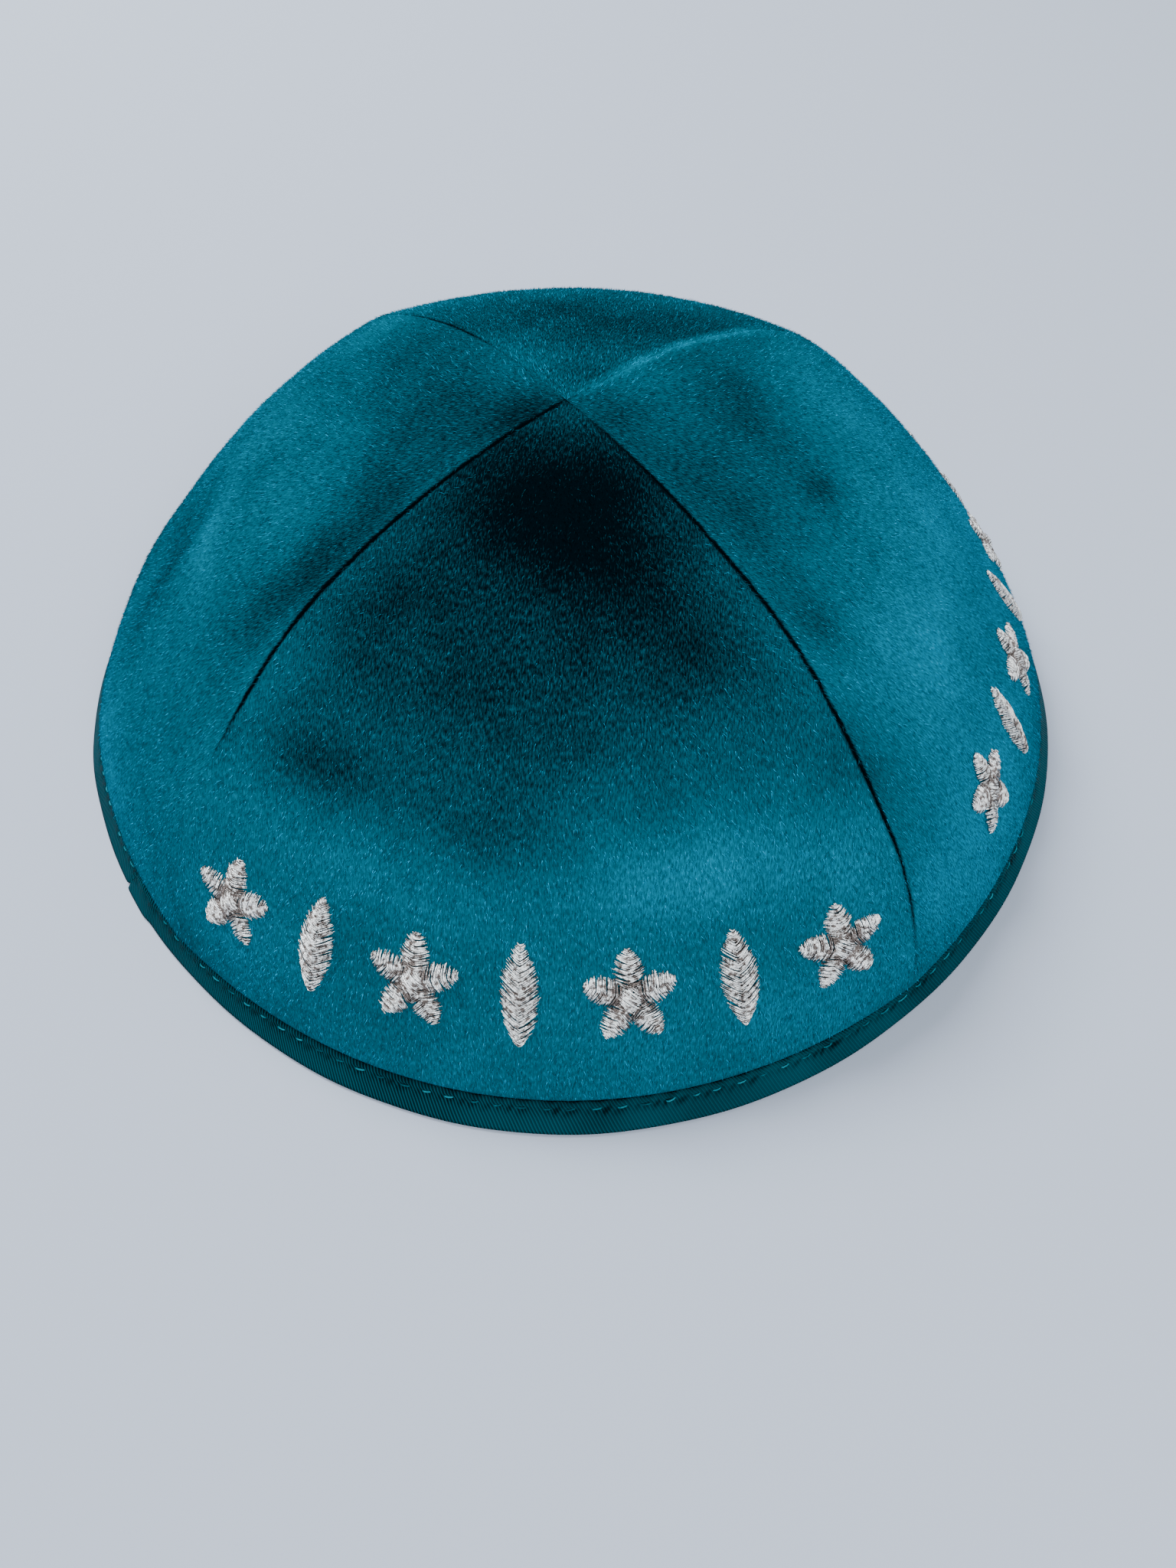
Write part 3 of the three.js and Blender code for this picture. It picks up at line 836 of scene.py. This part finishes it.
def fibre_needles(rng, root, normal, down):
    """The corners of each fibre, three round its root and its tip: fibres lie down the gore, each a
    little astray, and are shorter just above the tape."""
    side = np.cross(normal, down)
    swirl = np.array([noise.noise(Vector(p) * 70) for p in root]) * FIBRE_SWIRL
    turn = (swirl + rng.normal(0, FIBRE_TURN_SPREAD, FIBRE_COUNT))[:, None]
    lift = (FIBRE_LIFT + rng.normal(0, FIBRE_LIFT_SPREAD, FIBRE_COUNT))[:, None]
    grown = np.clip(rng.normal(1, FIBRE_LENGTH_SPREAD, FIBRE_COUNT), 0.4, 1.6)[:, None]
    length = FIBRE_LENGTH * grown * np.clip((root[:, 2:] - ROLL_START) / (2 * MM), 0.4, 1)
    lie = down * np.cos(turn) + side * np.sin(turn)
    level = np.cross(normal, lie)
    direction = lie * np.cos(lift) + normal * np.sin(lift)
    width = FIBRE_WIDTH * rng.uniform(0.7, 1.2, (FIBRE_COUNT, 1))
    root = root - normal * FIBRE_ROOT
    bed = np.cross(direction, level)
    base = [root + level * width / 2, root - level * width / 2, root - bed * width * 0.6]
    return np.stack([*base, root + direction * length], axis=1)


def make_pile(gore, face, place, painted_seam_light):
    """The fibres of a gore, spread evenly over its face."""
    name = GORES[gore]
    rng = np.random.default_rng(31 + gore)
    corner = face[:-1, :-1]
    along = face[1:, :-1] - corner
    across = face[:-1, 1:] - corner
    areas = np.linalg.norm(np.cross(across, along), axis=-1)
    chance = areas.ravel() / areas.sum()
    cell = rng.choice(len(chance), size=FIBRE_COUNT, p=chance)
    row, column = np.unravel_index(cell, areas.shape)
    a, b = rng.random((2, FIBRE_COUNT, 1))

    def blended(grid):
        first = grid[row, column] * (1 - b) + grid[row, column + 1] * b
        second = grid[row + 1, column] * (1 - b) + grid[row + 1, column + 1] * b
        return first * (1 - a) + second * a

    root = blended(face)
    normal = np.cross(across[row, column], along[row, column])
    normal /= np.linalg.norm(normal, axis=-1, keepdims=True)
    down = -along[row, column]
    down -= normal * (down * normal).sum(-1, keepdims=True)
    down /= np.linalg.norm(down, axis=-1, keepdims=True) + 1e-12
    placed = fibre_needles(rng, root, normal, down)
    clear_selection()
    bpy.ops.mesh.primitive_cone_add(vertices=3, radius1=FIBRE_WIDTH, depth=FIBRE_LENGTH)
    finish = velvet_finish(name, pile=True)
    piece = many(f"pile_{name}", bpy.context.object, placed, finish)
    mesh = piece.data
    paint_shade(mesh, "shade", np.repeat(rng.random(FIBRE_COUNT), 4))
    paint_shade(mesh, "tip", np.tile([0, 0, 0, 1], FIBRE_COUNT))
    # Painted shade and highlight beside the seams, carried on to each fibre
    paint_shade(mesh, "painted_light", np.repeat(blended(painted_seam_light)[:, 0], 4))
    paint_map(mesh, "cloth", np.repeat(blended(place), 4, axis=0))
    low = place.min(axis=(0, 1))
    shares = (blended(place) - low) / np.ptp(place, axis=(0, 1))
    specks = (shares * SPECK_SPREAD + SPECK_MARGIN)[:, None]
    corners = np.array([[0, 0], [1, 0], [0, 1], [1, 1]]) * SPECK_SIZE
    paint_map(mesh, "OFBake", (specks + corners).reshape(-1, 2))
    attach(piece, "root")


# Tape and its stitches


def tape_section():
    """The tape's outline, as heights and depths: up the outer leg and down behind it, up behind the
    inner leg and down its face, and back under the fold."""
    outer, inner = TAPE_SET_BACK, TAPE_INNER_FACE
    half = TAPE_WALL / 2
    corners = []

    def leg(first, last, depth, count, puff=0):
        for share in np.linspace(0, 1, count):
            height = first + (last - first) * share
            corners.append((height, depth + puff * math.sin(math.pi * share)))

    def turn(height, depth, radius_up, radius_in, first, last, count):
        for angle in np.radians(np.linspace(first, last, count)):
            upwards = radius_up * math.sin(angle)
            corners.append((height + upwards, depth - radius_in * math.cos(angle)))

    outer_top, inner_top = TAPE_OUTER_LEG - half, TAPE_INNER_LEG - half
    gusset = TAPE_FOLD + 0.3 * MM
    for share in np.linspace(0, 1, 10):
        flare = TAPE_FLARE * (1 - share) ** 1.6
        corners.append((TAPE_FOLD + (outer_top - TAPE_FOLD) * share, outer - flare))
    turn(outer_top, outer + half, half, half, 22, 158, 5)
    leg(outer_top, gusset, outer + TAPE_WALL, 4)
    leg(gusset, inner_top, inner - TAPE_WALL, 4)
    turn(inner_top, inner - half, half, half, 22, 158, 5)
    leg(inner_top, TAPE_FOLD, inner, 7, puff=0.12 * MM)
    foot = outer - TAPE_FLARE
    turn(TAPE_FOLD, (foot + inner) / 2, TAPE_FOLD, (inner - foot) / 2, 345, 195, 9)
    return corners


def make_tape():
    """A closed ring of folded tape, puckered between its stitches and lapped at its join."""
    section = np.array(tape_section())
    section = np.concatenate([section, section[:1]])
    azimuth = np.linspace(0, 2 * math.pi, 6 * STITCH_COUNT + 1)
    length = RIM_RADIUS * azimuth
    grid = (len(section), len(azimuth))
    points, cloth, crease_shade = np.empty((*grid, 3)), np.empty((*grid, 2)), np.zeros(grid)
    run = np.cumsum(np.linalg.norm(np.diff(section[:-1], axis=0), axis=1))
    run = [0, *run, run[-1] + TAPE_WALL]
    uneven = np.array([noise.noise(Vector((math.cos(a), math.sin(a), 0)) * 25) for a in azimuth])
    stitch = (0.5 - 0.5 * np.cos(STITCH_COUNT * azimuth)) * (1 + uneven)
    ripple = RIPPLE_DEPTH * np.sin(length / (4.1 * MM)) * np.sin(length / (13 * MM) + 1)
    for row, (height, depth) in enumerate(section):
        outside = depth < (TAPE_SET_BACK + TAPE_INNER_FACE) / 2
        below_top = (TAPE_OUTER_LEG - height) / MM
        near_stitches = math.exp(-((below_top - PUCKER_DROP / MM) ** 2) / 0.4)
        pull = PUCKER_DEPTH * near_stitches * stitch
        lap = (azimuth - (TAPE_JOIN + 2 * math.pi)) * RIM_RADIUS - 0.6 * (height - 3 * MM)
        raised = np.clip(lap / LAP_EDGE, 0, 1) * np.clip((LAP_LENGTH - lap) / (2 * MM), 0, 1)
        notch = np.exp(-((lap / NOTCH_WIDTH) ** 2)) * NOTCH_DEPTH
        shift = pull + notch - LAP_HEIGHT * raised + ripple
        if outside:
            # Painted shade in the slanted creases beside the stitches on the tape's outside
            slanted = np.cos(STITCH_COUNT * azimuth * 2 + below_top * 2.6 + uneven * 5)
            crease_shade[row] = near_stitches * (0.1 + (0.5 - 0.5 * slanted) * (0.6 + uneven))
            sag = EDGE_SAG * math.exp(-below_top / 0.6) * stitch
            height = np.maximum(height - sag, 0)
        deep = depth + (shift if outside else -shift)
        points[row] = cloth_point_at_height(azimuth, height, deep)
        cloth[row, :, 0] = length
        cloth[row, :, 1] = run[row]
    piece = laid_sheet("satin_tape", points, cloth, crease_shade)
    piece.data.materials.append(satin_finish())
    weld(piece, closed=True)
    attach(piece, "root")
    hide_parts("rim_binding")


def thread_shape(segments, sides):
    """A straight thread of radius 1 from -1 to 1, with a ring at each step, and its points."""
    clear_selection()
    bpy.ops.mesh.primitive_cylinder_add(vertices=sides, radius=1, depth=2, end_fill_type="NGON")
    shape = bpy.context.object
    bpy.ops.object.mode_set(mode="EDIT")
    for cut in range(1, segments):
        bpy.ops.mesh.select_all(action="SELECT")
        bpy.ops.mesh.bisect(plane_co=(0, 0, 2 * cut / segments - 1), plane_no=(0, 0, 1))
    bpy.ops.object.mode_set(mode="OBJECT")
    return shape, vertex_places(shape.data)


def make_stitches(name, height, depth, side, lean, material):
    """A row of stitches round the tape, each a short loop of thread that dips in at both ends; side
    is 1 for a row that shows outside and -1 for one that shows inside."""
    count = STITCH_COUNT
    shape, local = thread_shape(segments=6, sides=5)
    share = local[:, 2]
    slim = np.sqrt(np.clip(1 - (share * 0.93) ** 2, 0, 1)) ** 0.5 * STITCH_THICKNESS / 2
    rng = np.random.default_rng(5)
    azimuth = (np.arange(count) + 0.5) / count * 2 * math.pi + rng.normal(0, 0.002, count)
    tilt = (lean + rng.normal(0, 0.1, count))[:, None]
    stretch = share * STITCH_LENGTH / 2 * rng.uniform(0.7, 1.1, (count, 1))
    sideways = stretch * np.cos(tilt) - local[:, 0] * slim * np.sin(tilt)
    upwards = stretch * np.sin(tilt) + local[:, 0] * slim * np.cos(tilt)
    out = local[:, 1] * slim - STITCH_DIP * share**4 + STITCH_LIFT
    angles = azimuth[:, None] + sideways / RIM_RADIUS
    placed = cloth_point_at_height(angles, height + upwards, depth - side * out)
    piece = many(name, shape, placed, material)
    paint_shade(piece.data, "shade", np.repeat(rng.uniform(0, 1, count), len(local)))
    weld(piece, closed=True)
    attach(piece, "root")


# Ornaments


def ornament_points(centre, sideways, upwards, depth):
    """Points on the cloth, measured along it from the middle of an ornament."""
    t = param_at_height(centre["height"] + upwards * centre["climb"])
    azimuth = centre["azimuth"] + sideways / radius_at(centre["azimuth"], t)
    return cloth_point(azimuth, t, depth)


def arc_half_width(along, length, width):
    """Half width of a pointed petal or leaf at distances from its middle."""
    arc = (length**2 + width**2) / (4 * width)
    inside = np.clip(arc**2 - along**2, 0, None)
    return np.clip(np.sqrt(inside) - (arc - width / 2), 0, None)


def thread_rows(rosette):
    """Each thread of an ornament: the direction of march, how far along it crosses the middle, its
    half length, how much it bends forward from there to its ends, how high it is padded, and its
    tone, with painted shade where petals run in under the heart."""
    rows = []

    def fill(heading, first, last, middle, length, width, bend, lift):
        for along in np.arange(first, last, THREAD_PITCH):
            half = 0
            for _ in range(12):
                half = float(arc_half_width(along + bend * half - middle, length, width))
            # Painted shade on the petals' threads where they run in under the heart
            under = math.exp(-(((along - HEART_WIDTH / 2) / MM) ** 2)) if middle else 0
            rows.append((heading, along, half, bend, lift, -under))

    if rosette:
        reach = ROSETTE_DIAMETER / 2
        end = reach - BLUNT_TIP
        petal = (HEART_WIDTH / 4, end, reach / 2, reach, PETAL_WIDTH, PETAL_BEND, 0)
        for turn in range(PETAL_COUNT):
            fill(math.pi / 2 + 2 * math.pi * turn / PETAL_COUNT, *petal)
        edge = HEART_WIDTH / 2
        fill(HEART_TURN, -edge, edge, 0, HEART_WIDTH, HEART_WIDTH * 0.98, 0, HEART_LIFT)
    else:
        half = MOTIF_HEIGHT / 2
        leaf = (0.3 * MM - half, half - BLUNT_TIP, 0, MOTIF_HEIGHT, LEAF_WIDTH, LEAF_BEND, 0)
        fill(math.pi / 2, *leaf)
    return rows


def make_ornament(label, centre, rosette, material, rng):
    """Satin stitch over a soft pad: threads side by side across each petal or leaf."""
    rows = np.array(thread_rows(rosette))
    count = len(rows)
    shape, local = thread_shape(segments=6, sides=3)
    share = local[:, 2]
    angle = np.arctan2(local[:, 1], local[:, 0])
    heading, step, half, bend, lift, tone = rows.T[:, :, None]
    half = half * rng.uniform(0.92, 1.08, (count, 1))
    half = half + rng.uniform(-0.05, 0.28, (count, 1)) * MM
    slim = THREAD_RADIUS * (1 - 0.5 * np.abs(share) ** 5)
    across = half * share + rng.normal(0, 0.05 * MM, (count, 1))
    forward = step + np.abs(across) * bend + across * rng.normal(0.04, 0.08, (count, 1))
    forward = forward + slim * np.cos(angle) + 0.05 * MM * rng.normal(0, 1, (count, 1))
    thick = np.clip(half / (1.5 * MM), 0.35, 1)
    vein = 1 - 0.5 * bend * np.exp(-((share / 0.2) ** 2))
    crown = PAD_CROWN * thick * (1 - np.abs(share) ** 2.4) * vein + lift
    up = crown + slim * np.sin(angle) + rng.uniform(0, 0.14 * MM, (count, 1))
    sideways = forward * np.cos(heading) - across * np.sin(heading)
    upwards = forward * np.sin(heading) + across * np.cos(heading)
    placed = ornament_points(centre, sideways, upwards, -up - THREAD_LIFT)
    piece = many(f"stitched_{label}", shape, placed, material)
    shades = rng.uniform(0, 1, count) + tone[:, 0]
    paint_shade(piece.data, "shade", np.repeat(shades, len(share)))
    weld(piece, closed=True)
    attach(piece, "root")
    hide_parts(f"motif_{label}")


def make_ornament_rows(material):
    """Rosettes and leaves in turn, evenly spaced along the rim."""
    rng = np.random.default_rng(17)
    for layout in MOTIF_ROWS:
        gore = GORES.index(layout["gore"])
        start, width = SEAM_AZIMUTHS[gore], GORE_WIDTHS[gore]
        middle = start + width / 2
        climb = float(facing(middle, param_at_height(TAPE_OUTER_LEG + MOTIF_ABOVE_TAPE))[0])
        height = TAPE_OUTER_LEG + (MOTIF_ABOVE_TAPE + MOTIF_HEIGHT / 2) * climb
        span = layout["to"] - layout["from"]
        length = span * width * float(radius_at(middle, param_at_height(height)))
        gaps = max(math.floor(length / (ROSETTE_DIAMETER + MOTIF_SPACING)), 1)
        for place in range(gaps + 1):
            centre = {
                "azimuth": start + width * (layout["from"] + span * place / gaps),
                "height": height,
                "climb": climb,
            }
            rosette = place % 2 == 0
            make_ornament(f"{layout['gore']}_{place + 1}", centre, rosette, material, rng)


# Surroundings


def make_camera():
    across = Vector((1, 0, 0))
    drop = Vector((0, -math.sin(CAMERA_DOWN), -math.cos(CAMERA_DOWN)))
    forward = Vector((0, math.cos(CAMERA_DOWN), -math.sin(CAMERA_DOWN)))
    right = across * math.cos(CAMERA_ROLL) + drop * math.sin(CAMERA_ROLL)
    down = drop * math.cos(CAMERA_ROLL) - across * math.sin(CAMERA_ROLL)
    data = bpy.data.cameras.new("camera")
    data.lens = CAMERA_LENS
    data.sensor_width = 36
    data.clip_start = 0.01
    camera = bpy.data.objects.new("camera", data)
    turned = Matrix((right, -down, -forward)).transposed().to_4x4()
    camera.matrix_world = Matrix.Translation(CAMERA_PLACE) @ turned
    bpy.context.scene.collection.objects.link(camera)
    bpy.context.scene.camera = camera


def make_table():
    clear_selection()
    bpy.ops.mesh.primitive_plane_add(size=TABLE_SIZE)
    table = bpy.context.object
    table.name = "table"
    finish = Finish("pale_table", Roughness=0.9)
    finish.set("Base Color", PALE_TABLE)
    table.data.materials.append(finish.material)


def light_studio():
    world = bpy.data.worlds.new("studio")
    world.use_nodes = True
    sky = world.node_tree.nodes["Background"]
    sky.inputs["Color"].default_value = SKY_COLOUR
    sky.inputs["Strength"].default_value = SKY_STRENGTH
    bpy.context.scene.world = world
    for row in LIGHTS:
        data = bpy.data.lights.new(row["name"], "AREA")
        data.size = row["size"]
        data.energy = row["power"]
        light = bpy.data.objects.new(row["name"], data)
        light.location = row["place"]
        towards = Vector(LIGHT_TARGET) - light.location
        light.rotation_euler = towards.to_track_quat("-Z", "Y").to_euler()
        bpy.context.scene.collection.objects.link(light)


make_camera()
make_table()
light_studio()
backing = backing_finish()
for gore in range(len(GORES)):
    make_pile(gore, *make_gore(gore, backing))
make_tape()
seam_thread = thread_finish(
    "seam_thread",
    TEAL_THREAD,
    lightness=0.5,
    spread=1,
    glints=1.2,
    glitter=0.02 * MM,
    Roughness=0.7,
    Specular_IOR_Level=0.05,
)
low = TAPE_OUTER_LEG - OUTSIDE_DROP
make_stitches("stitches_outside", low, TAPE_SET_BACK + OUTSIDE_PULL, 1, 0.12, seam_thread)
low = TAPE_INNER_LEG - INSIDE_DROP
make_stitches("stitches_inside", low, TAPE_INNER_FACE, -1, -0.1, seam_thread)
silver = thread_finish(
    "silver_thread",
    SILVER_SHADE_AND_GLINT,
    lightness=0.7,
    spread=0.8,
    glints=5,
    glitter=0.3 * MM,
    Roughness=0.2,
    Metallic=0.25,
    Specular_IOR_Level=1,
)
make_ornament_rows(silver)
